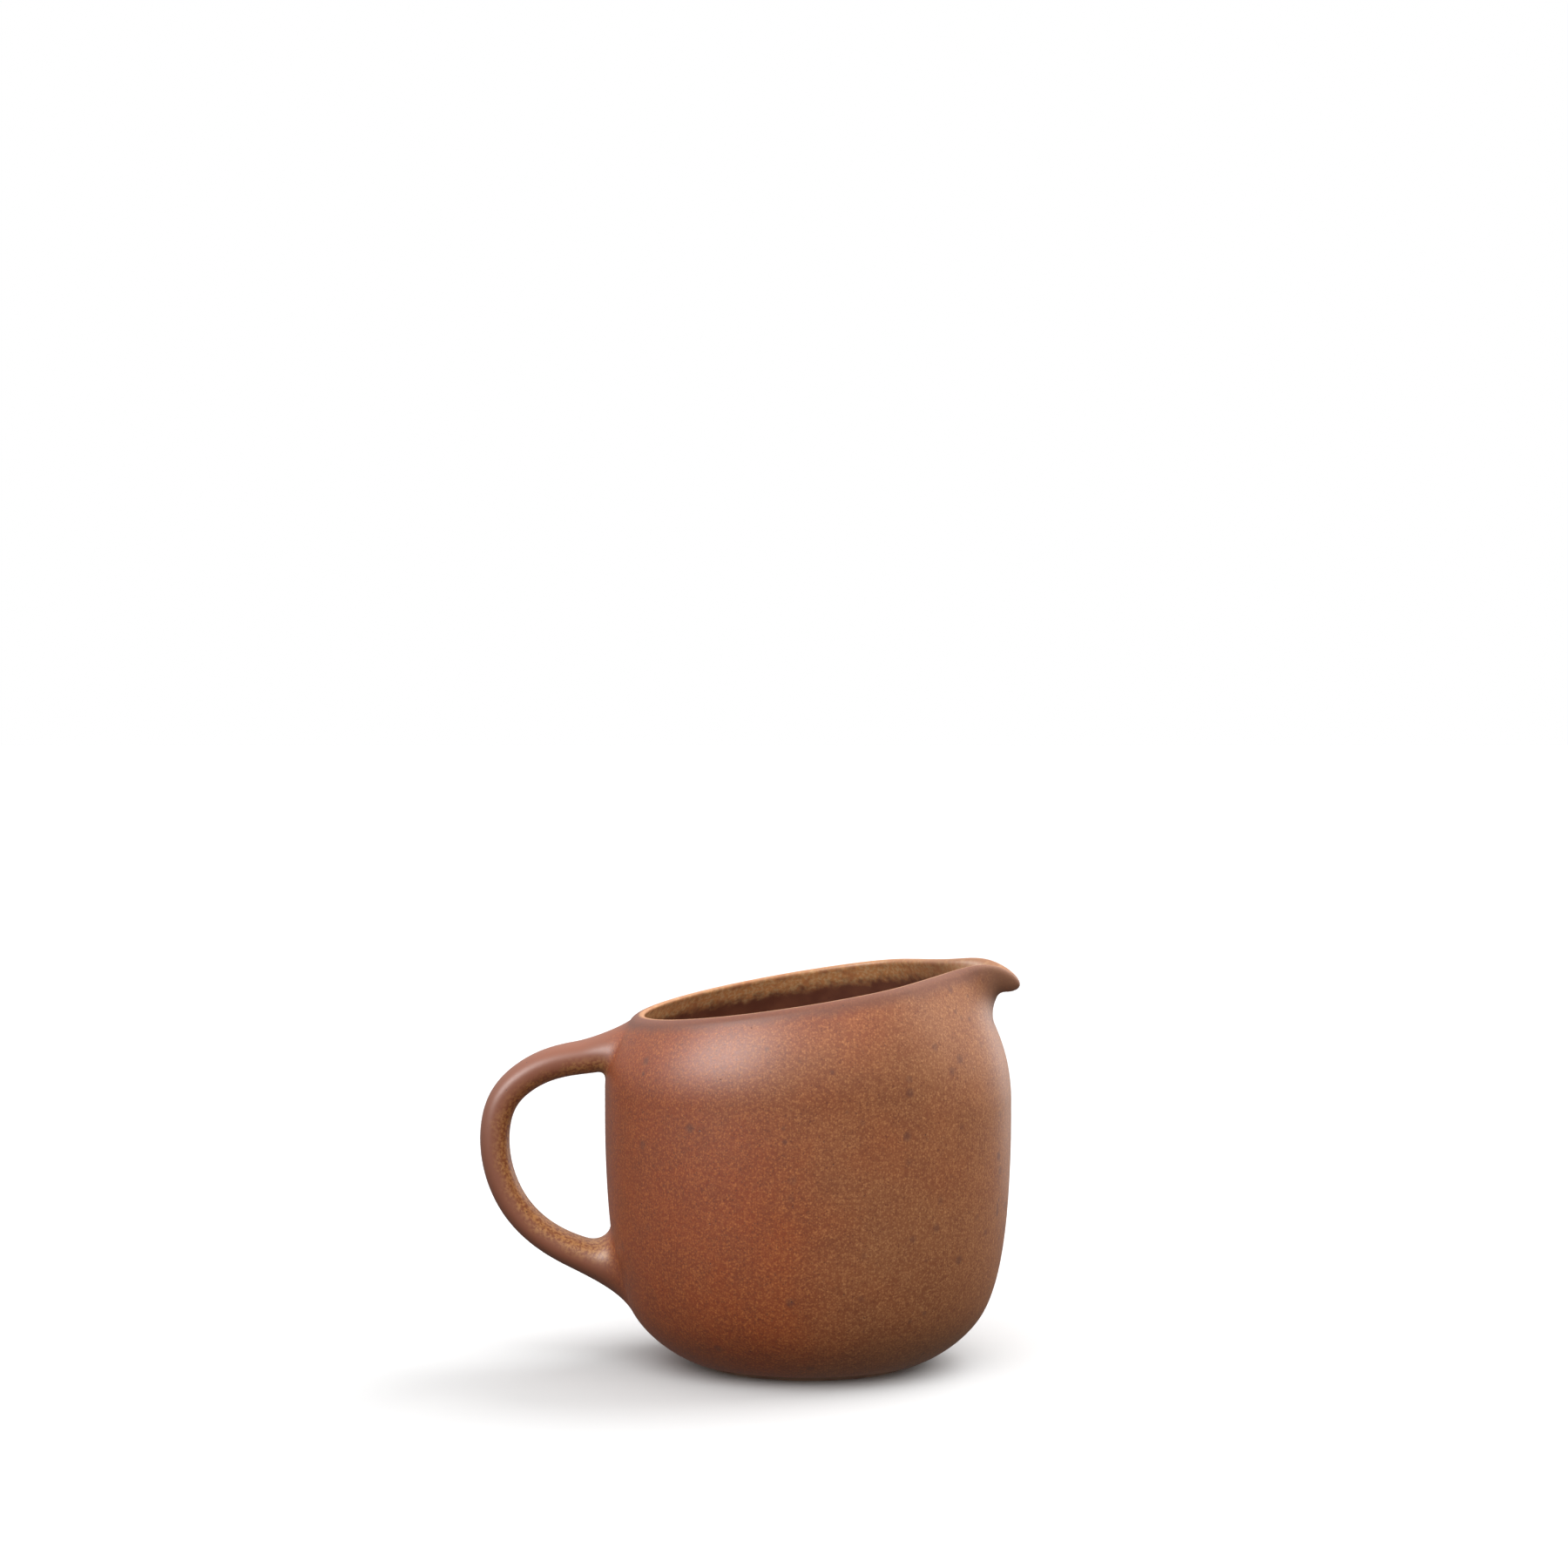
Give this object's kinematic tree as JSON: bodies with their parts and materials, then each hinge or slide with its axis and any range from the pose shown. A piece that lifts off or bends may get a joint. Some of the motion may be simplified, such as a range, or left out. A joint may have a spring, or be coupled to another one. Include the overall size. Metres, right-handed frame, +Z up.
{
  "type": "ceramic pitcher",
  "caption": "Small glazed stoneware pitcher with a round belly, slanted rim, pulled spout and loop handle, for pouring milk or cream.",
  "frame": {"origin": "centre of the foot ring, on the surface the pitcher stands on, under the vessel's axis", "axes": "+Z up along the vessel's axis; +X from the handle towards the spout; the XZ plane is the plane of symmetry"},
  "size_m": [0.1217, 0.0912, 0.0902],
  "materials": {
    "bare_stoneware": "unglazed, matt",
    "outer_glaze": "satin, speckled",
    "inner_glaze": "satin, mottled",
    "handle_glaze": "satin"
  },
  "bodies": {
    "root": {"stoneware_body": "bare_stoneware", "handle": "bare_stoneware", "upper_handle_lute": "bare_stoneware", "lower_handle_lute": "bare_stoneware", "exterior_glaze": "outer_glaze", "interior_glaze": "inner_glaze", "handle_glaze": "handle_glaze", "base_recess_glaze": "outer_glaze"}
  },
  "joints": []
}
